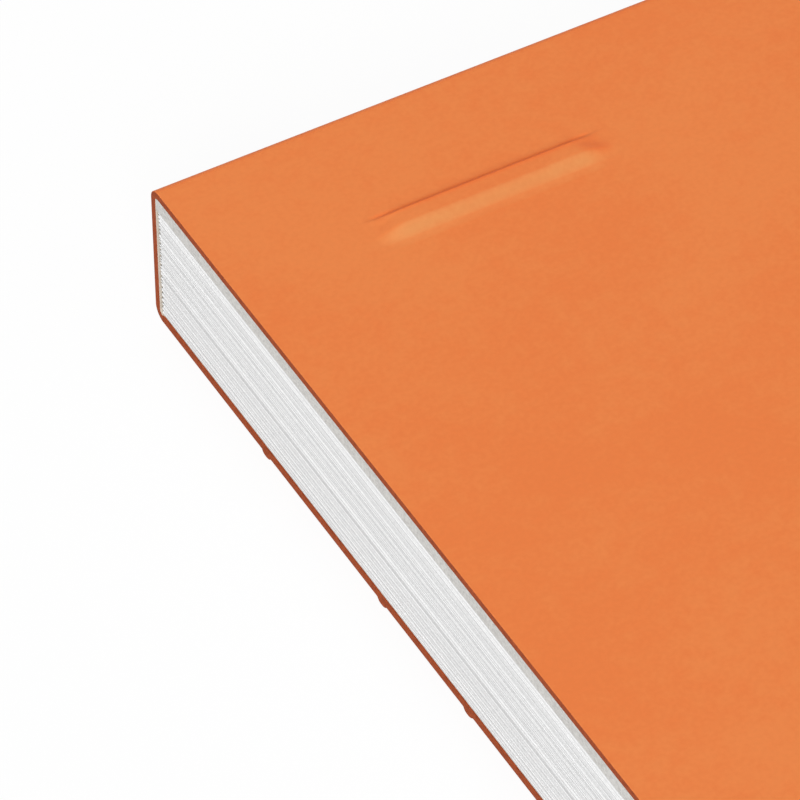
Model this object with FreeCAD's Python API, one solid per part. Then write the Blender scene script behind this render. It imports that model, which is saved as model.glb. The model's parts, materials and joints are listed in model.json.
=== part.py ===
"""Head-stapled pocket notepad, lying on its front cover with the back cover up.

One sheet of coated card is glued over the backing board, wraps the head and comes down over the
sheets as the front cover. Three beads are scored across its front near the head. It opens at the
first, and the other two let it turn over the head and lie along the back. Two flat-wire staples hold
the board and the sheets together. Their crowns lie between the board and the card, and press a low
ridge into it. Their legs pass through the stack and are clinched flat into the first sheet.

Millimetres. X across the width, +Y towards the head, +Z up and out of the back cover. The origin is
under the middle of the pad, at the height of the bead tips that it stands on.
"""

import FreeCAD
import Part
import math
import os

from FreeCAD import Vector

# Format
pad_width = 105.0
pad_length = 148.0

# Cover card
card_thickness = 0.5
fold_outer_radius = 0.8
fold_inner_radius = 0.1  # the card creases nearly sharp on its inside
cover_play = 0.18  # between the front cover and the first sheet

# Stack
sheet_count = 80
sheet_thickness = 0.093
board_thickness = 0.88
board_play = 0.02  # between the board and the card at the head
sheet_play = 0.3  # between the sheets and the card at the head

# Beads scored across the front; the cover opens at the first
bead_from_head = (12.35, 24.8, 33.8)
bead_width = 1.0
bead_height = 0.22
groove_width = 0.5
groove_depth = 0.08
hinge_gap = 0.06  # the parting of the card in the middle of the first bead

# Staples, bent from flat wire
staple_crown = 12.0  # over the legs
wire_width = 0.95
wire_thickness = 0.6
staple_bend_radius = 0.4  # inside the bend
staple_from_side = 15.55
staple_from_head = 9.24
staple_clearance = 0.02
crown_sink = 0.12  # how far the crown is pressed into the board
clinch_length = 3.6  # from the leg's outer side to the tip
clinch_stand = 0.08  # how far the clinched legs stand out of the first sheet
tip_length = 0.5  # chisel-cut tip

# Ridge that each crown presses into the card
ridge_end_inset = 0.35  # from the leg's outer side to the end of the crest
ridge_slope_side = 0.8
ridge_slope_end = 1.5
ridge_corner_radius = 0.35
ridge_edge_radius = 0.2

# Levels and lengths that follow
front_face_z = bead_height
front_inner_z = front_face_z + card_thickness
sheets_bottom_z = front_inner_z + cover_play
sheets_top_z = sheets_bottom_z + sheet_count * sheet_thickness
board_top_z = sheets_top_z + board_thickness
back_face_z = board_top_z + card_thickness
head_y = pad_length / 2
foot_y = -pad_length / 2
hinge_y = head_y - bead_from_head[0]
ridge_height = wire_thickness - crown_sink + staple_clearance
ridge_crest_width = wire_width + 2 * staple_clearance
ridge_crest_length = staple_crown - 2 * ridge_end_inset


def place(from_head, z):
    """Point of a lengthwise section, by its distance from the head and its height."""
    return Vector(-pad_width / 2, head_y - from_head, z)


def line(a, b):
    return Part.LineSegment(a, b).toShape()


def closed_face(edges):
    return Part.Face(Part.Wire(Part.__sortEdges__(edges)))


def lengthwise_solid(edges):
    """Solid of a closed lengthwise section, run across the full width."""
    return closed_face(edges).extrude(Vector(pad_width, 0, 0))


def block(from_head, to_head, bottom_z, top_z):
    """Full-width block between two distances from the head and two heights."""
    corner = place(to_head, bottom_z)
    return Part.makeBox(pad_width, to_head - from_head, top_z - bottom_z, corner)


def head_fold(face_z, depth, radius, inward):
    """Quarter arc of a head fold, this deep in the card. Inward is -1 at the back, 1 at the front."""
    centre = depth + radius
    centre_z = face_z + inward * centre
    half = radius * math.sin(math.radians(45))
    return Part.Arc(
        place(centre, centre_z - inward * radius),
        place(centre - half, centre_z - inward * half),
        place(depth, centre_z),
    ).toShape()


def scored_face(z, start, width, height):
    """Edges of one face of the front panel, from the fold to the foot, dipping at each score."""
    edges = []
    for from_head in bead_from_head:
        before, after = place(from_head - width / 2, z), place(from_head + width / 2, z)
        edges.append(line(place(start, z), before))
        edges.append(Part.Arc(before, place(from_head, z - height), after).toShape())
        start = from_head + width / 2
    edges.append(line(place(start, z), place(pad_length, z)))
    return edges


def make_card():
    """The whole card, folded over the head, with its scores."""
    outer = fold_outer_radius
    inner = fold_inner_radius
    inner_start = card_thickness + inner
    return lengthwise_solid([
        line(place(pad_length, back_face_z), place(outer, back_face_z)),
        head_fold(back_face_z, 0, outer, -1),
        line(place(0, back_face_z - outer), place(0, front_face_z + outer)),
        head_fold(front_face_z, 0, outer, 1),
        *scored_face(front_face_z, outer, bead_width, bead_height),
        line(place(pad_length, front_face_z), place(pad_length, front_inner_z)),
        *scored_face(front_inner_z, inner_start, groove_width, groove_depth),
        head_fold(front_face_z, card_thickness, inner, 1),
        line(place(card_thickness, front_inner_z + inner), place(card_thickness, board_top_z - inner)),
        head_fold(back_face_z, card_thickness, inner, -1),
        line(place(inner_start, board_top_z), place(pad_length, board_top_z)),
        line(place(pad_length, board_top_z), place(pad_length, back_face_z)),
    ])


def staple_places():
    """Centre of each staple's crown, in X and Y."""
    x = pad_width / 2 - staple_from_side
    return [Vector(side * x, head_y - staple_from_head, 0) for side in (-1, 1)]


def rounded_rectangle(length, width, radius, z):
    """Closed wire about the Z axis, with its length along X."""
    x, y = length / 2 - radius, width / 2 - radius
    edges = [
        line(Vector(-x, -width / 2, z), Vector(x, -width / 2, z)),
        line(Vector(length / 2, -y, z), Vector(length / 2, y, z)),
        line(Vector(x, width / 2, z), Vector(-x, width / 2, z)),
        line(Vector(-length / 2, y, z), Vector(-length / 2, -y, z)),
    ]
    for corner_x, corner_y, start in ((x, -y, -90), (x, y, 0), (-x, y, 90), (-x, -y, 180)):
        circle = Part.Circle(Vector(corner_x, corner_y, z), Vector(0, 0, 1), radius)
        edges.append(Part.Arc(circle, math.radians(start), math.radians(start + 90)).toShape())
    return Part.Wire(Part.__sortEdges__(edges))


def ridge(base_z):
    """Low hipped block about the Z axis: the form that a staple's crown gives the card."""
    base = rounded_rectangle(
        ridge_crest_length + 2 * ridge_slope_end,
        ridge_crest_width + 2 * ridge_slope_side,
        ridge_corner_radius + ridge_slope_side,
        base_z,
    )
    crest = rounded_rectangle(
        ridge_crest_length, ridge_crest_width, ridge_corner_radius, base_z + ridge_height
    )
    return Part.makeLoft([base, crest], True, True)


def raised_over_staples(card):
    """The card with a ridge on its back face over each staple, and the hollow under it."""
    crest_z = back_face_z + ridge_height
    for spot in staple_places():
        raised = ridge(back_face_z)
        crest_edges = [e for e in raised.Edges if abs(e.BoundBox.ZMin - crest_z) < 1e-6]
        raised = raised.makeFillet(ridge_edge_radius, crest_edges)
        hollow = ridge(board_top_z)
        raised.translate(spot)
        hollow.translate(spot)
        card = card.fuse(raised).cut(hollow)
    return card.removeSplitter()


def make_covers():
    """The card, parted at the first bead: the back, head and staple strip, and the opening front."""
    card = make_card()
    middle_z = sheets_bottom_z - cover_play / 2
    hinge = bead_from_head[0]
    front = card.common(block(hinge + hinge_gap / 2, pad_length, 0, middle_z))
    back = card.cut(block(hinge - hinge_gap / 2, pad_length, 0, middle_z))
    return raised_over_staples(back), front


def staple(clearance):
    """One clinched staple about the Z axis. A clearance makes it that much larger all round."""
    crown_z = board_top_z - crown_sink + wire_thickness + clearance
    clinch_z = sheets_bottom_z - clinch_stand - clearance
    wire = wire_thickness + 2 * clearance
    inner = staple_bend_radius - clearance
    outer = inner + wire
    side = staple_crown / 2 + clearance
    tip = staple_crown / 2 - clinch_length - clearance
    half_turn = math.sin(math.radians(45))
    bend_x = side - outer

    def bend(radius, centre_z, outward):
        """Quarter bend at the right-hand leg, from the leg to the level run."""
        return Part.Arc(
            Vector(bend_x + radius, 0, centre_z),
            Vector(bend_x + radius * half_turn, 0, centre_z + outward * radius * half_turn),
            Vector(bend_x, 0, centre_z + outward * radius),
        ).toShape()

    top_centre = crown_z - outer
    low_centre = clinch_z + outer
    right = [
        line(Vector(0, 0, crown_z), Vector(bend_x, 0, crown_z)),
        bend(outer, top_centre, 1),
        line(Vector(side, 0, top_centre), Vector(side, 0, low_centre)),
        bend(outer, low_centre, -1),
        line(Vector(bend_x, 0, clinch_z), Vector(tip + tip_length, 0, clinch_z)),
        line(Vector(tip + tip_length, 0, clinch_z), Vector(tip, 0, clinch_z + wire)),
        line(Vector(tip, 0, clinch_z + wire), Vector(bend_x, 0, clinch_z + wire)),
        bend(inner, low_centre, -1),
        line(Vector(side - wire, 0, low_centre), Vector(side - wire, 0, top_centre)),
        bend(inner, top_centre, 1),
        line(Vector(bend_x, 0, crown_z - wire), Vector(0, 0, crown_z - wire)),
    ]
    left = [e.mirror(Vector(0, 0, 0), Vector(1, 0, 0)) for e in right]
    width = wire_width + 2 * clearance
    wire_solid = closed_face(right + left).extrude(Vector(0, width, 0))
    wire_solid.translate(Vector(0, -width / 2, 0))
    return wire_solid


def pierced(solid):
    """The solid with the staples' paths and seats taken out."""
    for spot in staple_places():
        path = staple(staple_clearance)
        path.translate(spot)
        solid = solid.cut(path)
    return solid


def make_backing_board():
    """The board reaches the card at the head, and its edge there is rounded to the fold."""
    board = block(card_thickness + board_play, pad_length, sheets_top_z, board_top_z)
    head_edge = [
        e for e in board.Edges
        if abs(e.BoundBox.ZMin - board_top_z) < 1e-6
        and abs(e.BoundBox.YMin - (head_y - card_thickness - board_play)) < 1e-6
    ]
    return pierced(board.makeFillet(fold_inner_radius, head_edge))


def make_page_block():
    """The sheets, as one block, which ends clear of the card at the head."""
    from_head = card_thickness + sheet_play
    return pierced(block(from_head, pad_length, sheets_bottom_z, sheets_top_z))


def make_staples():
    """The two staples, by node name."""
    made = {}
    for name, spot in zip(("staple_left", "staple_right"), staple_places()):
        made[name] = staple(0)
        made[name].translate(spot)
    return made


def main():
    back_cover, front_cover = make_covers()
    nodes = {
        "back_cover": back_cover,
        "front_cover": front_cover,
        "backing_board": make_backing_board(),
        "page_block": make_page_block(),
        **make_staples(),
    }
    os.makedirs("parts", exist_ok=True)
    for name, shape in nodes.items():
        solid = shape.Solids[0]
        if len(shape.Solids) != 1 or not solid.isValid():
            raise ValueError(f"{name} is not one valid solid")
        solid.exportStep(f"parts/{name}.step")
        box = solid.BoundBox
        print(
            f"{name}: {box.XLength:.2f} x {box.YLength:.2f} x {box.ZLength:.2f} mm, "
            f"{solid.Volume:.1f} mm3"
        )


main()
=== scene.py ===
import bpy
import json
import math
import random
from mathutils import Matrix, Vector


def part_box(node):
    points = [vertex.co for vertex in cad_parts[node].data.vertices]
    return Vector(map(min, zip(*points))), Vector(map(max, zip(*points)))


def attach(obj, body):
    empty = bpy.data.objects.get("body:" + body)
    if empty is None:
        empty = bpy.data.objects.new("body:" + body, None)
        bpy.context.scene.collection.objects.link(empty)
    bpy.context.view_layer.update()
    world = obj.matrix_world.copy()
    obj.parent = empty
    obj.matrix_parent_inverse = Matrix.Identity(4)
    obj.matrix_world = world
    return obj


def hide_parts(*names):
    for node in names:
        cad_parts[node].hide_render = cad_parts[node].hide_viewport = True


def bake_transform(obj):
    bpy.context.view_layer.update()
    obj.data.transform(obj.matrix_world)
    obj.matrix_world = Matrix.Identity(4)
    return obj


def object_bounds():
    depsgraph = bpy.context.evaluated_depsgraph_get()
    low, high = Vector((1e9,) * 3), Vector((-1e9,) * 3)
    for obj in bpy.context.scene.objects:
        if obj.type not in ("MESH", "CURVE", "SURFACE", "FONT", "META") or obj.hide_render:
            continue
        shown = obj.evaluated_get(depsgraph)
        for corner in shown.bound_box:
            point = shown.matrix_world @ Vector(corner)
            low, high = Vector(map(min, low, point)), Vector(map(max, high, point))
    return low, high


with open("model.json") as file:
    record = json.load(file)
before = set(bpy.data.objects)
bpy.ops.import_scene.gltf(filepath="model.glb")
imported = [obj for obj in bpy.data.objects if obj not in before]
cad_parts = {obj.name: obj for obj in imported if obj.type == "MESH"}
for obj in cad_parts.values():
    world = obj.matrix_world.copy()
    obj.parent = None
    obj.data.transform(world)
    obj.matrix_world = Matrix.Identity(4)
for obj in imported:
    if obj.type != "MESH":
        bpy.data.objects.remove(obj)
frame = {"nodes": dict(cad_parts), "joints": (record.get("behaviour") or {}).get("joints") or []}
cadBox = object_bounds()
mm = 0.001
quarter = math.pi / 2  # a quarter turn


# Places, all from the frame
backLow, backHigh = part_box("back_cover")
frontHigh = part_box("front_cover")[1]
boardLow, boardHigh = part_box("backing_board")
sheetsLow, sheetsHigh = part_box("page_block")
left, right = backLow.x, backHigh.x
foot, head = backLow.y, backHigh.y
hingeY = frame["joints"][0]["pos_m"][1]
print("frame loaded")


# Shader writing
class Signal:
    # A value running through a material. Arithmetic on it adds Math nodes.
    def __init__(self, tree, socket):
        self.tree = tree
        self.socket = socket

    def math(self, operation, first, second):
        made = self.tree.node("ShaderNodeMath", {"operation": operation}, {0: first, 1: second})
        return made["Value"]

    def __add__(self, other):
        return self.math("ADD", self, other)

    def __radd__(self, other):
        return self.math("ADD", other, self)

    def __sub__(self, other):
        return self.math("SUBTRACT", self, other)

    def __rsub__(self, other):
        return self.math("SUBTRACT", other, self)

    def __mul__(self, other):
        return self.math("MULTIPLY", self, other)

    def __rmul__(self, other):
        return self.math("MULTIPLY", other, self)

    def atLeast(self, lowest):
        return self.math("MAXIMUM", self, lowest)

    def atMost(self, highest):
        return self.math("MINIMUM", self, highest)


class Made:
    # A node that was added; its outputs are read by name.
    def __init__(self, tree, node):
        self.tree = tree
        self.node = node

    def __getitem__(self, output):
        found = [s for s in self.node.outputs if s.enabled and s.name == output]
        return Signal(self.tree, found[0])


class Tree:
    def __init__(self, nodeTree):
        self.nodeTree = nodeTree

    def plug(self, socket, value):
        if isinstance(value, Signal):
            self.nodeTree.links.new(value.socket, socket)
        else:
            socket.default_value = value

    def node(self, kind, settings=None, inputs=None):
        made = self.nodeTree.nodes.new(kind)
        for key, value in (settings or {}).items():
            setattr(made, key, value)
        for key, value in (inputs or {}).items():
            if isinstance(key, int):
                self.plug(made.inputs[key], value)
            else:
                self.plug([s for s in made.inputs if s.enabled and s.name == key][0], value)
        return Made(self, made)

    def mixColour(self, factor, a, b, blend="MIX"):
        settings = {"data_type": "RGBA", "blend_type": blend}
        return self.node("ShaderNodeMix", settings, {"Factor": factor, "A": a, "B": b})["Result"]

    def noise(self, place, scale, detail, roughness):
        inputs = {"Vector": place, "Scale": scale, "Detail": detail, "Roughness": roughness}
        return self.node("ShaderNodeTexNoise", {"noise_dimensions": "3D"}, inputs)["Fac"]

    def vectorMath(self, operation, first, second):
        made = self.node("ShaderNodeVectorMath", {"operation": operation}, {0: first, 1: second})
        return made["Vector"]

    def stretch(self, place, factors):
        return self.vectorMath("MULTIPLY", place, factors)

    def shift(self, place, amounts):
        return self.vectorMath("ADD", place, amounts)

    def limit(self, value, low, high):
        # 0 at low and 1 at high, smooth between
        settings = {"interpolation_type": "SMOOTHSTEP"}
        inputs = {"Value": value, "From Min": low, "From Max": high}
        return self.node("ShaderNodeMapRange", settings, inputs)["Result"]

    def bump(self, height, distance):
        return self.node("ShaderNodeBump", None, {"Height": height, "Distance": distance})["Normal"]


def srgb(red, green, blue):
    # A colour given as it looks on a screen, 0 to 255
    def linear(value):
        share = value / 255
        return share / 12.92 if share <= 0.04045 else ((share + 0.055) / 1.055) ** 2.4
    return (linear(red), linear(green), linear(blue), 1.0)


def emptyTree(owner):
    owner.use_nodes = True
    owner.node_tree.nodes.clear()
    return Tree(owner.node_tree)


def newMaterial(name, constants):
    # Constants go straight on the shader's sockets; the caller plugs in what changes over the surface
    material = bpy.data.materials.new(name)
    tree = emptyTree(material)
    surface = tree.node("ShaderNodeBsdfPrincipled", None, constants)
    tree.node("ShaderNodeOutputMaterial", None, {"Surface": surface["BSDF"]})
    return material, tree, surface.node.inputs


def attribute(tree, name, output):
    return tree.node("ShaderNodeAttribute", {"attribute_name": name})[output]


def objectPlace(tree):
    return tree.node("ShaderNodeTexCoord")["Object"]


# Meshes
def newPiece(name, vertices, faces, slots, smooth, materials):
    mesh = bpy.data.meshes.new(name)
    mesh.from_pydata(vertices, [], faces)
    for material in materials:
        mesh.materials.append(material)
    mesh.polygons.foreach_set("material_index", slots)
    mesh.polygons.foreach_set("use_smooth", smooth)
    mesh.validate()
    mesh.update()
    piece = bpy.data.objects.new(name, mesh)
    bpy.context.scene.collection.objects.link(piece)
    return piece


def storeVectors(piece, name, values):
    made = piece.data.attributes.new(name, "FLOAT_VECTOR", "POINT")
    made.data.foreach_set("vector", [c for v in values for c in v])


def storeNumbers(piece, name, values):
    made = piece.data.attributes.new(name, "FLOAT", "POINT")
    made.data.foreach_set("value", values)


def steps(start, end, count):
    # count + 1 even places from start to end
    return [start + (end - start) * i / count for i in range(count + 1)]


def ease(share):
    share = min(1.0, max(0.0, share))
    return share * share * (3 - 2 * share)


# Card cover
card = {
    "thickness": 0.5 * mm,
    "foldOuter": 0.8 * mm,
    "foldInner": (0.2 * mm, 0.26 * mm),  # at the back and at the front
    "foldSteps": 14,
    "frontStart": 11.4 * mm,  # from the head: the front that opens starts here, before its first bead
    "bend": 0.75 * mm,  # the front bends over this far each side of the hinge
    "outerEdge": 0.015 * mm,  # rounding of the cut edges, coated side
    "innerEdge": (0.034 * mm, 0.006 * mm),  # lined side, along the back and down the head wall
    "dragged": 0.08 * mm,  # painted shade: the front's inner edge is rounded this far in the cut's dark colour, for the shade in the gap under the sheets
    "draggedFrom": (-0.1 * mm, 0.3 * mm),  # where that begins, from the fold's end, and over what length
    "endRound": 0.02 * mm,  # rounding of the card's two ends
    "margin": 0.1 * mm,  # flat left beside each curved stretch, which keeps the shading of the faces clean
    "edgeMargin": 0.02 * mm,
    "seamMargin": 0.004 * mm,
    "longSteps": 16,  # places along the flat stretches
    "shortSteps": 4,
    "seamSteps": 3,
    "acrossSteps": 42,
    "wallShares": (0.1, 0.3, 0.5, 0.7, 0.9),  # places down the head wall
    "cutShares": (0.25, 0.5, 0.7),  # places through the cut edge
    # Painted shade along a head fold's turn: strength, then its middle and half width in shares of the
    # quarter turn
    "creaseTone": (0.6, 0.5, 0.3),
    # Painted light where a head fold begins to turn from the lamp: strength, the shares where it is full
    # and where it ends, its fading
    "startTone": (0.6, 0.1, 0.35, 0.16),
    "coat": srgb(238, 135, 72),
    "cloud": (0.991, 0.89, 0.853, 1.0),  # the coat's clouds darken it to this share
    "grain": (0.976, 0.976, 0.976, 1.0),  # and its finest grain to this
    "stretched": srgb(212, 145, 86),  # painted highlight on the ridges' foot side, which faces the lamp
    "pressed": srgb(255, 117, 48),  # painted shade along the ridges' head side, their right ends and the head folds
    "folded": srgb(252, 134, 67),  # painted light: a redder coat where it turns from the lamp, where a fold begins and at the ridges' ends
    "cut": srgb(170, 80, 42),
    "cutDark": srgb(138, 62, 33),
    "liner": srgb(223, 212, 198),
    "linerDark": srgb(208, 197, 183),
    "cloudShift": (103.0, 164.0, 51.0),  # moves the clouds over the card
}
beads = {
    "fromHead": (12.34 * mm, 24.79 * mm, 33.71 * mm),
    "height": 0.22 * mm,
    "headSide": (0.45 * mm, 3.2),  # from the deepest line to the bead's end, and how full it is
    "footSide": (0.51 * mm, 2.6),
    "grooveDepth": 0.02 * mm,
    "grooveHalf": 0.25 * mm,
    "steps": 24,
}
ridges = {
    "fromHead": 9.21 * mm,
    "height": 0.5 * mm,
    # Where the crest ends, the slope's length, the share of the height left for a soft toe, and its length.
    # The head side keeps its lower edge to the ends.
    "headSide": (0.44 * mm, 0.63 * mm, 0.03, 1.2 * mm),
    "footSide": (0.45 * mm, 0.82 * mm, 0.3, 1.3 * mm),
    "end": (5.3 * mm, 2.1 * mm, 0.15, 3.0 * mm),
    "footTone": (0.8, 0.7, 0.8),  # painted highlight on the foot side: slope where it is full, how fast it gets there, how much
    "endLead": 0.3 * mm,  # how much sooner the head side ends than the foot side
    "endNarrowing": 0.4,  # how fast the head side's slope narrows there
    "rightTone": (0.5, 2.0),  # right end, which faces away from the lamp: slopes at which the painted red light and the painted shade are full
    # Painted shade along the ridge's head side: its middle and half width where the ridge is low, how much
    # both grow to full height, its strength, and how fast it fades
    "crease": (1.095 * mm, 0.255 * mm, 0.345 * mm, 0.9, 1.4),
    # Head side near the ends, painted light where the dark line fades: the drop that brings on the painted
    # red light, the height below which it goes again, and how much painted highlight is added there
    "endLight": (0.25, 0.4, 0.1),
    "step": 0.055 * mm,  # between the places over a ridge
    "endSteps": (18, 6),  # places along the end's steep slope, and along its toe
    "clear": 0.8 * mm,  # the card's wide places across keep this far from the ends' close ones
    "probe": 0.03 * mm,  # half the distance over which a slope is taken
}
backInner = boardHigh.z
backFace = backInner + card["thickness"]
frontInner = frontHigh.z
frontFace = frontInner - card["thickness"]


def beadDepth(fromHead):
    # How far the outer face dips at this distance from the head
    for centre in beads["fromHead"]:
        away = fromHead - centre
        half, fullness = beads["headSide" if away < 0 else "footSide"]
        if abs(away) < half:
            return beads["height"] * (1 - (abs(away) / half) ** fullness)
    return 0.0


def grooveDepth(fromHead):
    for centre in beads["fromHead"]:
        share = abs(fromHead - centre) / beads["grooveHalf"]
        if share < 1:
            return beads["grooveDepth"] * ease(1 - share)
    return 0.0


stapleNames = ("staple_left", "staple_right")
stapleCentres = [sum(corner.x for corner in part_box(name)) / 2 for name in stapleNames]


def ridgeDrop(away, slope, shrink=1.0):
    # Share of the ridge's height that is lost this far from its middle line
    start, length, toe, toeLength = slope
    steep = ease((away - start - length * (1 - shrink)) / (length * shrink))
    return (1 - toe) * steep + toe * ease((away - start) / toeLength)


def ridgeRise(x, fromHead):
    # Soft ridge over each staple, level along its crest
    across = fromHead - ridges["fromHead"]
    crestHead, crestFoot = ridges["headSide"][0], ridges["footSide"][0]
    lead = ridges["endLead"] * ease((crestFoot - across) / (crestFoot + crestHead))
    rise = 0.0
    for centre in stapleCentres:
        high = 1 - ridgeDrop(abs(x - centre) + lead, ridges["end"])
        if high <= 0:
            continue
        if across > 0:
            side = ridgeDrop(across, ridges["footSide"])
        else:
            side = ridgeDrop(-across, ridges["headSide"], high ** ridges["endNarrowing"])
        rise = max(rise, (1 - side) * high)
    return ridges["height"] * rise


def ridgePaintedLight(x, fromHead):
    # First positive for painted highlight where the ridge faces the lamp, negative for painted shade on its
    # head side and right end.
    # Then the share of the painted red light, on the right end's slopes and near the ends.
    near = ridges["probe"]
    footward = (ridgeRise(x, fromHead - near) - ridgeRise(x, fromHead + near)) / (2 * near)
    rightward = (ridgeRise(x - near, fromHead) - ridgeRise(x + near, fromHead)) / (2 * near)
    full, power, most = ridges["footTone"]
    stretched = most * min(1.0, max(0.0, footward) / full) ** power
    middle, half, growth, strength, fading = ridges["crease"]
    lead = ridges["endLead"]
    high = 1 - min(ridgeDrop(abs(x - centre) + lead, ridges["end"]) for centre in stapleCentres)
    away = abs(fromHead - ridges["fromHead"] + middle - growth * high)
    crease = ease(1 - away / (half + growth * high))
    drop, back, lift = ridges["endLight"]
    light = crease * ease((1 - high) / drop) * ease(high / back)
    folded, pressed = (max(0.0, rightward) / slope for slope in ridges["rightTone"])
    tone = stretched + lift * light - pressed - strength * crease * high ** fading
    return max(-1.0, min(1.0, tone)), min(1.0, light + folded)


def foldShade(turn):
    # Painted shade: negative along the middle of a head fold's turn
    strength, middle, half = card["creaseTone"]
    return -strength * ease(1 - abs(turn - middle * quarter) / (half * quarter))


def foldStartLight(turn):
    # Painted light: positive where a head fold begins
    strength, full, end, fading = card["startTone"]
    share = turn / quarter
    return strength * ease(share / full) * ease((end - share) / fading)


def cardStations():
    # The card's lengthwise section, from the back's foot round the head to the front's foot
    made = []
    backEdge, wallEdge = card["innerEdge"]

    # A station's tone is painted highlight (positive) or painted shade (negative); its start is the share
    # of painted red light
    def station(outer, inner, edge=backEdge, turn=0.0, **more):
        made.append({
            "outer": outer, "inner": inner, "edge": edge, "curved": False, "ridge": False, "front": False,
            "tone": foldShade(turn), "start": foldStartLight(turn), **more,
        })

    thickness = card["thickness"]
    outer = card["foldOuter"]
    margin = card["margin"]
    innerBack, innerFront = card["foldInner"]
    length = head - foot
    ridgeFoot = ridges["fromHead"] + ridges["footSide"][0] + ridges["footSide"][3]
    ridgeHead = ridges["fromHead"] - ridges["headSide"][0] - ridges["headSide"][3]
    for d in steps(length, ridgeFoot + mm, card["longSteps"]):
        station((head - d, backFace), (head - d, backInner))
    for d in steps(ridgeFoot, ridgeHead, round((ridgeFoot - ridgeHead) / ridges["step"])):
        station((head - d, backFace), (head - d, backInner), curved=True, ridge=True)
    for d in steps(ridgeHead - mm, outer + margin, card["shortSteps"]):
        station((head - d, backFace), (head - d, backInner))
    for outerZ, innerZ, inner, toward in ((backFace, backInner, innerBack, 1),
                                          (frontFace, frontInner, innerFront, -1)):
        for i in range(card["foldSteps"] + 1):
            share = i / card["foldSteps"]
            turn = quarter * (share if toward > 0 else 1 - share)
            c, s = 1 - math.cos(turn), 1 - math.sin(turn)
            edge = backEdge + (wallEdge - backEdge) * share if toward > 0 else wallEdge
            station((head - outer * s, outerZ - toward * outer * c),
                    (head - thickness - inner * s, innerZ - toward * inner * c), edge, turn, curved=True)
        if toward > 0:
            for share in card["wallShares"]:
                wallOuter = (backFace - outer) * (1 - share) + (frontFace + outer) * share
                wallInner = (backInner - innerBack) * (1 - share) + (frontInner + innerFront) * share
                station((head, wallOuter), (head - thickness, wallInner), wallEdge, quarter)
    places = frontPlaces(outer, length)
    shadeStart, shadeLength = card["draggedFrom"]
    for d in places:
        scored = beadDepth(d) > 0 or grooveDepth(d) > 0
        # The front's lined edge grows into painted shade, in the cut's dark colour
        edge = wallEdge + (card["dragged"] - wallEdge) * ease((d - outer - shadeStart) / shadeLength)
        station((head - d, frontFace - beadDepth(d)), (head - d, frontInner - grooveDepth(d)), edge,
                curved=scored, front=True)
    return made


def frontPlaces(start, length):
    # Distances from the head along the front, close together only over the beads
    margin, hold = card["margin"], card["seamMargin"]
    places = [start + share * margin for share in (0.4, 1, 2)]  # just past the fold
    places.extend(steps(places[-1] + mm, card["frontStart"] - hold, card["seamSteps"]))
    places.extend((card["frontStart"], card["frontStart"] + hold))
    for centre in beads["fromHead"]:
        headHalf, footHalf = beads["headSide"][0], beads["footSide"][0]
        before = centre - headHalf - 2 * margin
        if before > places[-1] + mm:
            places.extend(steps(places[-1] + mm, before, card["shortSteps"]))
        else:
            places.append(before)
        middle, half = centre + (footHalf - headHalf) / 2, (footHalf + headHalf) / 2
        places.extend(middle - half * math.cos(turn) for turn in steps(0, math.pi, beads["steps"]))
        places.append(centre + footHalf + 2 * margin)
    places.extend(steps(places[-1] + mm, length, card["longSteps"]))
    return places


def acrossPlaces():
    # X places for the card, close together only at the ends of the ridges
    start, length, _, toeLength = ridges["end"]
    slopeSteps, toeSteps = ridges["endSteps"]
    aways = steps(start - card["margin"], start + length, slopeSteps)[:-1]
    aways += steps(start + length, start + toeLength, toeSteps)
    aways += [-away for away in aways]
    close = {round(centre + away, 7) for centre in stapleCentres for away in aways}
    wide = steps(left, right, card["acrossSteps"])[1:-1]
    wide = [x for x in wide if all(abs(x - other) > ridges["clear"] for other in close)]
    return sorted([*close, *wide])


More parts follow.
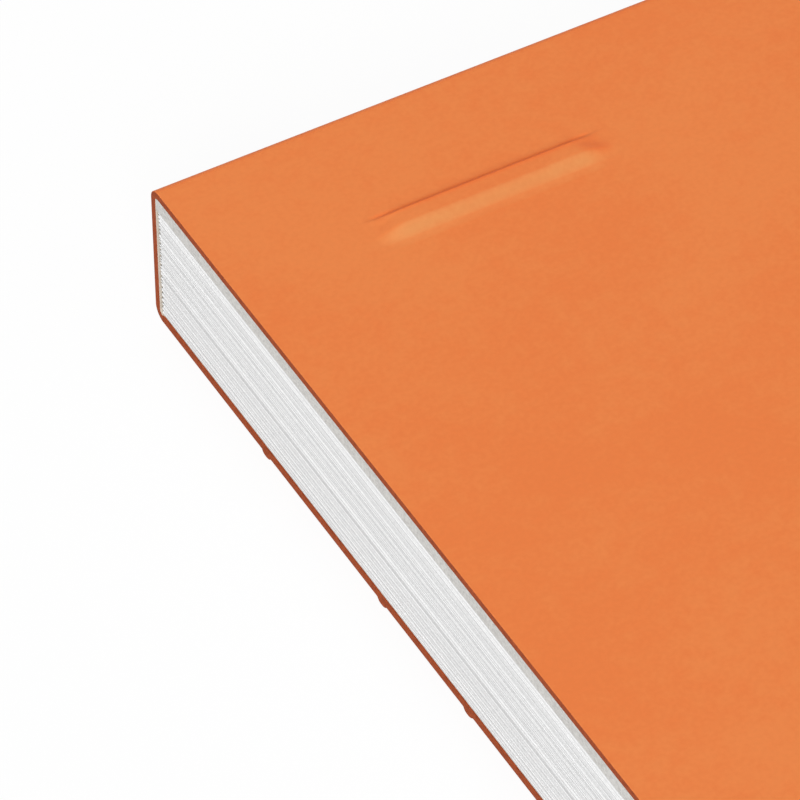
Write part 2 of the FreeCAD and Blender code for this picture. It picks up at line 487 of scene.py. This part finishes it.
def buildCard(materials):
    coatSlot, cutSlot, linerSlot = 0, 1, 2
    stations = cardStations()
    thickness = card["thickness"]
    turns = steps(0, quarter, 3)
    walls = card["cutShares"]
    middle = acrossPlaces()
    across = len(middle) + 2
    unrolled = [0.0]
    for before, after in zip(stations, stations[1:]):
        unrolled.append(unrolled[-1] + math.dist(before["outer"], after["outer"]))

    def section(innerRadius):
        # Ring of (x, depth through the card) points, from the left end of the outer face
        radius = card["outerEdge"]
        outerEnd, innerEnd = radius + card["edgeMargin"], innerRadius + card["edgeMargin"]
        edge = [(radius * (1 - math.sin(a)), radius * (1 - math.cos(a))) for a in turns]
        edge += [(0.0, thickness * share) for share in walls]
        for a in turns:
            edge.append((innerRadius * (1 - math.cos(a)), thickness - innerRadius * (1 - math.sin(a))))
        ring = [(x, 0.0) for x in (left + outerEnd, *middle, right - outerEnd)]
        ring += [(right - inset, depth) for inset, depth in edge]
        ring += [(x, thickness) for x in (right - innerEnd, *reversed(middle), left + innerEnd)]
        ring += [(left + inset, depth) for inset, depth in reversed(edge)]
        return ring

    # Each strip along the ring: its slot, None where the front and back differ, and whether it is rounded
    edgeStrips = [(coatSlot, True)] * (len(turns) - 1) + [(cutSlot, True)] * (len(walls) + 1)
    edgeStrips += [(None, True)] * (len(turns) - 1)
    strips = [(coatSlot, False)] * across + edgeStrips + [(linerSlot, False)] * (across + 1)
    strips += edgeStrips[::-1] + [(coatSlot, False)]
    ringCount = len(strips)

    def addRow(lists, index, inset, push):
        vertices, places, tones, litRedShares = lists
        here = stations[index]
        centre = (left + right) / 2
        squeeze = 1 - 2 * inset / (right - left)
        fromHead = head - here["outer"][0]
        for x, depth in section(here["edge"]):
            x = centre + (x - centre) * squeeze
            share = (inset + depth * (1 - 2 * inset / thickness)) / thickness
            y = here["outer"][0] * (1 - share) + here["inner"][0] * share + push
            z = here["outer"][1] * (1 - share) + here["inner"][1] * share
            tone, start = here["tone"], here["start"]
            if here["ridge"]:
                z += ridgeRise(x, fromHead)
                tone, start = ridgePaintedLight(x, fromHead)
            vertices.append((x, y, z))
            places.append((x / mm, unrolled[index] / mm, depth / mm))
            tones.append(tone)
            litRedShares.append(start)

    last = len(stations) - 1
    rimSize = card["endRound"]
    rim = [(rimSize, 0.0), (rimSize * 0.3, rimSize * 0.3), (0.0, rimSize)]
    rightStart, leftStart = across - 1, ringCount - len(edgeStrips) - 2
    caps = [(i, i + 1, leftStart - 1 - i, leftStart - i) for i in range(across - 1)]
    caps.append(tuple(range(rightStart, rightStart + len(edgeStrips) + 3)))
    caps.append((0, *range(leftStart, ringCount)))

    def shell(name, start, end):
        # The closed card between two stations
        rows = [(0, *ends) for ends in rim] if start == 0 else [(start, 0.0, 0.0)]
        rows += [(index, 0.0, 0.0) for index in range(start + 1, end)]
        rows += [(last, *ends) for ends in reversed(rim)] if end == last else [(end, 0.0, 0.0)]
        lists = [], [], [], []
        for row in rows:
            addRow(lists, *row)
        faces, slots, smooth = [], [], []
        for row in range(len(rows) - 1):
            here, after = stations[rows[row][0]], stations[rows[row + 1][0]]
            curved = here["curved"] and after["curved"]
            # On the front the lined side's rounding takes the cut's dark colour: painted shade of the gap
            # under the sheets
            innerSlot = cutSlot if after["front"] else linerSlot
            for i, (slot, rounded) in enumerate(strips):
                j = (i + 1) % ringCount
                faces.append(tuple(row * ringCount + k for k in (i, j, ringCount + j, ringCount + i)))
                slots.append(innerSlot if slot is None else slot)
                smooth.append(curved or rounded)
        for row, turned in ((0, True), (len(rows) - 1, False)):
            for cap in caps:
                cap = [row * ringCount + i for i in cap]
                faces.append(tuple(reversed(cap)) if turned else tuple(cap))
                slots.append(cutSlot)
                smooth.append(False)
        vertices, places, tones, litRedShares = lists
        piece = newPiece(name, vertices, faces, slots, smooth, materials)
        storeVectors(piece, "cardPlace", places)
        storeNumbers(piece, "cardLightShade", tones)
        storeNumbers(piece, "cardLitRed", litRedShares)
        return piece

    # The back, head and fixed strip stay on the pad. The front is a piece of its own, from just before its
    # first bead.
    justBefore = head - card["frontStart"] + card["seamMargin"] / 2
    split = next(i for i, here in enumerate(stations) if here["front"] and here["outer"][0] < justBefore)
    back = shell("card_back", 0, split)
    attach(back, "pad")
    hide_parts("back_cover")
    front = shell("card_front", split, last)
    hingeY + card["bend"]
    hingeY - card["bend"]
    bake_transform(front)
    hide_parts("front_cover")


def coatMaterial():
    material, tree, surface = newMaterial("orangeCoat", {"Roughness": 0.55, "Specular IOR Level": 0.16})
    place = attribute(tree, "cardPlace", "Vector")
    tone = attribute(tree, "cardLightShade", "Fac")
    cloud = tree.noise(tree.shift(place, card["cloudShift"]), scale=0.09, detail=2.0, roughness=0.5)
    patch = tree.noise(place, scale=1.0, detail=2.0, roughness=0.5)
    grain = tree.noise(place, scale=3.2, detail=2.0, roughness=0.5)
    shade = tree.limit(cloud * 0.5 + patch * 0.3 + grain * 0.2, low=0.38, high=0.62)
    white = (1, 1, 1, 1)
    # Painted light: a redder coat where it turns from the lamp
    colour = tree.mixColour(attribute(tree, "cardLitRed", "Fac"), card["coat"], card["folded"])
    # Painted highlight where the tone is positive
    colour = tree.mixColour(tone.atLeast(0.0), colour, card["stretched"])
    # Painted shade where the tone is negative
    colour = tree.mixColour((0 - tone).atLeast(0.0), colour, card["pressed"])
    colour = tree.mixColour(1.0, colour, tree.mixColour(shade, card["cloud"], white), "MULTIPLY")
    fine = tree.mixColour(tree.limit(grain, low=0.3, high=0.7), card["grain"], white)
    tree.plug(surface["Base Color"], tree.mixColour(1.0, colour, fine, "MULTIPLY"))
    tree.plug(surface["Roughness"], 0.5 + grain * 0.1)
    tree.plug(surface["Normal"], tree.bump(patch * 0.7 + grain * 0.3, distance=0.006 * mm))
    return material


def cutMaterial():
    material, tree, surface = newMaterial("cardCutEdge", {"Roughness": 0.85, "Specular IOR Level": 0.15})
    place = attribute(tree, "cardPlace", "Vector")
    layers = tree.noise(tree.stretch(place, (1.0, 1.0, 14.0)), scale=1.2, detail=3.0, roughness=0.6)
    tufts = tree.noise(place, scale=5.0, detail=3.0, roughness=0.65)
    shade = tree.limit(layers * 0.45 + tufts * 0.55, low=0.33, high=0.62)
    tree.plug(surface["Base Color"], tree.mixColour(shade, card["cutDark"], card["cut"]))
    tree.plug(surface["Normal"], tree.bump(tufts * 0.6 + layers * 0.4, distance=0.02 * mm))
    return material


def linerMaterial():
    material, tree, surface = newMaterial("cardLiner", {"Roughness": 0.9, "Specular IOR Level": 0.15})
    place = attribute(tree, "cardPlace", "Vector")
    fibre = tree.noise(tree.stretch(place, (1.0, 0.35, 1.0)), scale=3.5, detail=4.0, roughness=0.65)
    cloud = tree.noise(place, scale=0.3, detail=2.0, roughness=0.5)
    shade = tree.limit(fibre * 0.6 + cloud * 0.4, low=0.35, high=0.65)
    tree.plug(surface["Base Color"], tree.mixColour(shade, card["linerDark"], card["liner"]))
    tree.plug(surface["Normal"], tree.bump(fibre, distance=0.012 * mm))
    return material


# Backing board
board = {
    "edgeRadius": 0.04 * mm,
    "arcSteps": 6,
    "endSteps": 3,
    "tone": srgb(222, 220, 216),
    "toneDark": srgb(200, 197, 193),
    "fleck": srgb(166, 165, 163),
    "fleckShare": 0.35,
}


def boardMesh(low, high, radius, headRadius):
    # Lengthwise section with rounded corners, and a larger radius at the head's upper edge, run across X
    corners = (
        (low.y, low.z, radius, 1, 1), (high.y, low.z, radius, -1, 1),
        (high.y, high.z, headRadius, -1, -1), (low.y, high.z, radius, 1, -1),
    )
    section = []
    for (y, z, r, inY, inZ), start in zip(corners, (180, 270, 0, 90)):
        for turn in steps(math.radians(start), math.radians(start + 90), board["arcSteps"]):
            section.append((y + inY * r + r * math.cos(turn), z + inZ * r + r * math.sin(turn)))
    centreY, centreZ = (low.y + high.y) / 2, (low.z + high.z) / 2
    ends = [(low.x + radius * (1 - math.cos(a)), radius * (1 - math.sin(a)))
            for a in steps(0, quarter, board["endSteps"])]
    rows = ends + [(high.x + low.x - x, inset) for x, inset in reversed(ends)]
    vertices, faces, smooth = [], [], []
    for x, inset in rows:
        shrinkY = 1 - 2 * inset / (high.y - low.y)
        shrinkZ = 1 - 2 * inset / (high.z - low.z)
        for y, z in section:
            vertices.append((x, centreY + (y - centreY) * shrinkY, centreZ + (z - centreZ) * shrinkZ))
    ring = len(section)
    for row in range(len(rows) - 1):
        for i in range(ring):
            j = (i + 1) % ring
            faces.append((row * ring + i, row * ring + j, (row + 1) * ring + j, (row + 1) * ring + i))
            onArc = i % (board["arcSteps"] + 1) != board["arcSteps"]
            smooth.append(onArc and row != board["endSteps"])
    faces.append(tuple(reversed(range(ring))))
    faces.append(tuple(range((len(rows) - 1) * ring, len(rows) * ring)))
    smooth += [False, False]
    return vertices, faces, smooth


def buildBoard(material):
    vertices, faces, smooth = boardMesh(boardLow, boardHigh, board["edgeRadius"], card["foldInner"][0])
    piece = newPiece("grey_board", vertices, faces, [0] * len(faces), smooth, [material])
    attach(piece, "pad")
    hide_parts("backing_board")


def boardMaterial():
    material, tree, surface = newMaterial("greyBoard", {"Roughness": 0.92, "Specular IOR Level": 0.12})
    place = objectPlace(tree)
    pulp = tree.noise(tree.stretch(place, (1.0, 0.8, 1.4)), scale=5500.0, detail=3.0, roughness=0.65)
    cloud = tree.noise(place, scale=1100.0, detail=2.0, roughness=0.5)
    specks = tree.limit(tree.noise(place, scale=6500.0, detail=1.0, roughness=0.5), low=0.6, high=0.7)
    shade = tree.limit(pulp * 0.75 + cloud * 0.25, low=0.34, high=0.64)
    colour = tree.mixColour(shade, board["toneDark"], board["tone"])
    colour = tree.mixColour(specks * board["fleckShare"], colour, board["fleck"])
    tree.plug(surface["Base Color"], colour)
    tree.plug(surface["Normal"], tree.bump(pulp * 0.8 + cloud * 0.2, distance=0.03 * mm))
    return material


# Sheets
sheets = {
    "count": 80,
    "corner": 0.02 * mm,
    "groove": 0.02 * mm,  # between two sheets' edges
    "grooveTone": 0.15,  # painted shade in the groove: how much darker its edges are
    "chamfer": 0.2,  # share of a sheet's thickness
    "sideSpread": 0.018 * mm,  # how far the sheets' edges are set in, at most
    "sideLeast": 0.2,  # share of it that each is set in at the sides
    "headSpread": 0.03 * mm,
    "headOver": 0.08 * mm,  # the sheets reach this much further towards the head
    "headTip": 0.3 * mm,  # painted highlight: the long sheets' ends, which stand out at the head, are lighter over this length
    "tipTone": 1.1,
    "headStep": 0.15 * mm,  # some sheets stop this much short at the head
    "headSingles": 0.57,  # share of the sheets that lie alone there, not in twos
    "headSeed": 5237,
    "proud": (1, 4, 18, 44, 69),  # sheets that stand out and catch the light, counted from the back; painted highlight gives them the brightest tone
    # Sunk sheets are set in; painted shade gives them the darkest tone
    "sunk": (24, 38, 50, 59, 70),
    "sunkBy": 0.03 * mm,
    "spread": 0.4,  # how much the sheets differ in tone
    "swing": 0.6,  # how far a light sheet is followed by a dark one
    "toneRange": (0.05, 0.95),
    "ripple": 0.003 * mm,  # two waves along each edge, and the ranges that start and pace are drawn from
    "rippleStart": (0, 6.28),
    "ripplePaces": ((60, 160), (250, 500)),
    "seed": 11303,
    "pitch": 2.2 * mm,  # between the places along an edge
    "bright": srgb(252, 252, 252),
    "dark": srgb(211, 211, 211),
    "streakTone": 0.25,  # how much streaks and fibres change an edge's tone
    "fibreTone": 0.8,
    "gap": srgb(132, 134, 130),
    "gapDark": srgb(108, 110, 106),
    "face": srgb(244, 244, 242),
    "faceDark": srgb(238, 238, 235),
}


def shortSheets():
    # Which sheets stop short at the head
    chance = random.Random(sheets["headSeed"])
    short = []
    while len(short) < sheets["count"]:
        alone = chance.random() < sheets["headSingles"]
        short.extend([bool(short) and not short[-1]] * (1 if alone else 2))
    return short


def sheetLevels(short):
    # From the back to the front: z, insets at the sides, the foot and the head, tone, the tip's painted
    # highlight, wave
    chance = random.Random(sheets["seed"])
    count = sheets["count"]
    thickness = (sheetsHigh.z - sheetsLow.z) / count
    lowest, highest = sheets["toneRange"]
    start, (slow, fast) = sheets["rippleStart"], sheets["ripplePaces"]
    levels = []
    drawn = 0.5
    for i in range(count):
        base = sheetsHigh.z - i * thickness
        drawn = 0.5 - sheets["swing"] * (drawn - 0.5) + chance.gauss(0, sheets["spread"])
        shown = min(highest, max(lowest, drawn))
        sideInset = chance.uniform(sheets["sideLeast"], 1) * sheets["sideSpread"]
        footInset = chance.uniform(0, 1) * sheets["sideSpread"]
        headInset = chance.uniform(0, 1) * sheets["headSpread"] - sheets["headOver"]
        headInset += sheets["headStep"] if short[i] else 0
        # Painted highlight on the proud sheets and painted shade on the sunk ones
        if i in sheets["proud"]:
            sideInset, shown = 0.0, 1.0
        elif i in sheets["sunk"]:
            sideInset, shown = sheets["sunkBy"], 0.0
        wave = [chance.uniform(*bounds) for bounds in (start, slow, start, fast)]
        groove = sheets["groove"] if i > 0 else 0.0
        tipLight = shown if short[i] else sheets["tipTone"]
        for share, inset in ((0.0, groove), (sheets["chamfer"], 0.0), (1 - sheets["chamfer"], 0.0)):
            insets = [spread + inset for spread in (sideInset, footInset, headInset)]
            # Painted shade in the grooves between the sheets
            tone = shown - (sheets["grooveTone"] if inset else 0)
            levels.append((base - share * thickness, *insets, tone, tipLight, wave))
    levels.append((sheetsLow.z, *levels[-1][1:]))
    return levels


def buildSheets(materials):
    edgeSlot, faceSlot, gapShadeSlot = 0, 1, 2
    corner = sheets["corner"]
    alongCount = round((sheetsHigh.y - sheetsLow.y) / sheets["pitch"])
    acrossCount = round((right - left) / sheets["pitch"])
    headEnd, footEnd = sheetsHigh.y - corner, sheetsLow.y + corner
    ends = [headEnd, *steps(headEnd - sheets["headTip"], footEnd, alongCount)]
    widths = steps(left + corner, right - corner, acrossCount)
    # Each place on the outline, and the way out from it
    ring = [(left, y, -1, 0) for y in ends] + [(x, sheetsLow.y, 0, -1) for x in widths]
    ring += [(right, y, 1, 0) for y in reversed(ends)] + [(x, sheetsHigh.y, 0, 1) for x in reversed(widths)]
    ringCount = len(ring)
    headStart = ringCount - acrossCount - 2

    short = shortSheets()
    levels = sheetLevels(short)
    perSheet = len(levels) // sheets["count"]
    vertices, tones = [], []
    for z, sideInset, footInset, headInset, shown, tipLight, wave in levels:
        for x, y, outX, outY in ring:
            along = y if outX else x
            slow, fast = (math.sin(wave[k] + along * wave[k + 1]) for k in (0, 2))
            inset = sideInset if outX else (headInset if outY > 0 else footInset)
            inset += sheets["ripple"] * (slow + fast + 2)
            px, py = x - outX * inset, y - outY * inset
            if outX and y == ends[0]:
                py = y - headInset
            if outX and y == ends[-1]:
                py = y + footInset
            if outY and abs(x) > right - mm:  # the corners keep to the sides' inset
                px = math.copysign(min(abs(px), right - corner - sideInset), px)
            vertices.append((px, py, z))
            # Painted highlight on the long sheets' ends at the head
            tones.append(tipLight if outX and y == ends[0] else shown)
    faces, slots = [], []
    for row in range(len(levels) - 1):
        upper, lower = row * ringCount, (row + 1) * ringCount
        stepped = row % perSheet == perSheet - 1 or short[row // perSheet]
        for i in range(ringCount):
            j = (i + 1) % ringCount
            faces.append((upper + j, upper + i, lower + i, lower + j))
            # The ledges between the sheets' ends at the head lie in shade, painted as a dark grey
            slots.append(gapShadeSlot if stepped and i >= headStart else edgeSlot)
    bottom = (len(levels) - 1) * ringCount
    faces.append(tuple(range(ringCount)))
    faces.append(tuple(bottom + i for i in reversed(range(ringCount))))
    slots += [faceSlot, faceSlot]
    piece = newPiece("sheets", vertices, faces, slots, [False] * len(faces), materials)
    storeNumbers(piece, "sheetTone", tones)
    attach(piece, "pad")
    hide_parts("page_block")


def sheetEdgeMaterial():
    material, tree, surface = newMaterial("sheetEdges", {"Roughness": 0.9, "Specular IOR Level": 0.12})
    tone = attribute(tree, "sheetTone", "Fac")
    place = objectPlace(tree)
    streak = tree.noise(tree.stretch(place, (60.0, 60.0, 9000.0)), scale=1.0, detail=2.0, roughness=0.5)
    fibre = tree.noise(tree.stretch(place, (1.0, 1.0, 1.4)), scale=7000.0, detail=2.0, roughness=0.6)
    tone = tone + (streak - 0.5) * sheets["streakTone"] + (fibre - 0.5) * sheets["fibreTone"]
    tree.plug(surface["Base Color"], tree.mixColour(tone.atLeast(0.0), sheets["dark"], sheets["bright"]))
    tree.plug(surface["Normal"], tree.bump(streak * 0.6 + fibre * 0.4, distance=0.01 * mm))
    return material


def sheetGapShadeMaterial():
    material, tree, surface = newMaterial("sheetGapShade", {"Roughness": 0.95, "Specular IOR Level": 0.1})
    place = tree.stretch(objectPlace(tree), (1.0, 0.5, 1.4))
    fibre = tree.noise(place, scale=6000.0, detail=2.0, roughness=0.6)
    shade = tree.limit(fibre, low=0.35, high=0.65)
    tree.plug(surface["Base Color"], tree.mixColour(shade, sheets["gapDark"], sheets["gap"]))
    tree.plug(surface["Normal"], tree.bump(fibre, distance=0.01 * mm))
    return material


def sheetFaceMaterial():
    material, tree, surface = newMaterial("sheetFace", {"Roughness": 0.85, "Specular IOR Level": 0.15})
    cloud = tree.noise(objectPlace(tree), scale=700.0, detail=4.0, roughness=0.6)
    shade = tree.limit(cloud, low=0.35, high=0.65)
    tree.plug(surface["Base Color"], tree.mixColour(shade, sheets["faceDark"], sheets["face"]))
    tree.plug(surface["Normal"], tree.bump(cloud, distance=0.006 * mm))
    return material


# Staples
wire = {
    "tone": srgb(214, 214, 216),
    "toneDark": srgb(168, 168, 170),
}


def wireMaterial():
    material, tree, surface = newMaterial("stapleWire", {"Metallic": 1.0, "Roughness": 0.32})
    place = tree.stretch(objectPlace(tree), (300.0, 9000.0, 300.0))
    drawn = tree.noise(place, scale=1.0, detail=3.0, roughness=0.6)
    tree.plug(surface["Base Color"], tree.mixColour(drawn, wire["toneDark"], wire["tone"]))
    tree.plug(surface["Roughness"], 0.24 + drawn * 0.2)
    tree.plug(surface["Normal"], tree.bump(drawn, distance=0.004 * mm))
    return material


def dressStaples(material):
    for name in stapleNames:
        staple = frame["nodes"][name]
        staple.data.materials.clear()
        staple.data.materials.append(material)


buildCard([coatMaterial(), cutMaterial(), linerMaterial()])
print("card cover built")
buildBoard(boardMaterial())
print("board built")
buildSheets([sheetEdgeMaterial(), sheetFaceMaterial(), sheetGapShadeMaterial()])
print("sheets built")
dressStaples(wireMaterial())
print("staples finished")


# Studio
studio = {
    "floorSize": 6.0,
    "floorDrop": 1.0 * mm,  # leaves room for the front, which lies on the floor when it is open
    "floorTone": (0.93, 0.93, 0.93, 1.0),
    "floorGlow": 0.94,  # share of the floor's plain white that the camera sees
    "world": 0.4,  # strength of the light from all round
    "away": 2.4,  # how far the lamps stand off
}
lamps = {
    # Where it stands, its size, and the brightness that it alone gives a white face turned to it
    "key": {"from": Vector((-0.408, -0.69, 0.58)), "size": 1.0, "level": 0.756},
    "top": {"from": Vector((0.1, 0.1, 0.99)), "size": 1.0, "level": 0.13},
}


def seenWhite(tree, glow):
    # The share of plain white: for the camera, and for what metal shows
    path = tree.node("ShaderNodeLightPath")
    seen = path["Is Camera Ray"] + path["Is Glossy Ray"] + path["Is Transmission Ray"]
    return seen.atMost(1.0) * glow


def buildFloor():
    half = studio["floorSize"] / 2
    z = cadBox[0].z - studio["floorDrop"]
    corners = [(-half, -half, z), (half, -half, z), (half, half, z), (-half, half, z)]
    material = bpy.data.materials.new("paleFloor")
    tree = emptyTree(material)
    matte = tree.node("ShaderNodeBsdfDiffuse", None, {"Color": studio["floorTone"]})["BSDF"]
    white = tree.node("ShaderNodeEmission", None, {"Color": (1, 1, 1, 1), "Strength": 1.0})["Emission"]
    inputs = {0: seenWhite(tree, studio["floorGlow"]), 1: matte, 2: white}
    both = tree.node("ShaderNodeMixShader", None, inputs)
    tree.node("ShaderNodeOutputMaterial", None, {"Surface": both["Shader"]})
    newPiece("floor", corners, [(0, 1, 2, 3)], [0], [False], [material])


def buildWorld():
    world = bpy.data.worlds.new("studio")
    bpy.context.scene.world = world
    tree = emptyTree(world)
    light = tree.node("ShaderNodeBackground", None, {"Color": (1, 1, 1, 1), "Strength": studio["world"]})
    white = tree.node("ShaderNodeBackground", None, {"Color": (1, 1, 1, 1), "Strength": 1.0})
    inputs = {0: seenWhite(tree, 1.0), 1: light["Background"], 2: white["Background"]}
    both = tree.node("ShaderNodeMixShader", None, inputs)
    tree.node("ShaderNodeOutputWorld", None, {"Surface": both["Shader"]})


def addLamp(name, lamp):
    light = bpy.data.lights.new(name, "AREA")
    light.shape = "DISK"
    light.size = lamp["size"]
    light.energy = lamp["level"] * (math.pi * studio["away"]) ** 2
    made = bpy.data.objects.new(name, light)
    made.location = Vector((0, 0, backFace)) + lamp["from"].normalized() * studio["away"]
    made.rotation_mode = "QUATERNION"
    made.rotation_quaternion = lamp["from"].to_track_quat("Z", "Y")
    bpy.context.scene.collection.objects.link(made)


buildFloor()
buildWorld()
for name, lamp in lamps.items():
    addLamp(name, lamp)
print("studio lit")


# Camera
camera = {
    "azimuth": -29.228,  # 0 looks along +Y
    "elevation": 44.924,
    "roll": -0.54,
    "lens": 297.58,
    "sensor": 36.0,
    "clip": (0.01, 20.0),
    "away": 339.98 * mm,
    "aimInFromSide": 3.508 * mm,
    "aimFromHead": 20.682 * mm,
    "aimBelowTop": 0.009 * mm,
}


def buildCamera():
    data = bpy.data.cameras.new("camera")
    data.lens = camera["lens"]
    data.sensor_width = camera["sensor"]
    data.clip_start, data.clip_end = camera["clip"]
    made = bpy.data.objects.new("camera", data)
    a, e = math.radians(camera["azimuth"]), math.radians(camera["elevation"])
    back = Vector((math.sin(a) * math.cos(e), -math.cos(a) * math.cos(e), math.sin(e)))
    aim = Vector((left, head, backFace))
    aim += Vector((camera["aimInFromSide"], -camera["aimFromHead"], -camera["aimBelowTop"]))
    turn = back.to_track_quat("Z", "Y").to_matrix() @ Matrix.Rotation(math.radians(camera["roll"]), 3, "Z")
    made.matrix_world = Matrix.Translation(aim + back * camera["away"]) @ turn.to_4x4()
    bpy.context.scene.collection.objects.link(made)
    bpy.context.scene.camera = made


buildCamera()
bpy.context.scene.view_settings.view_transform = "Standard"
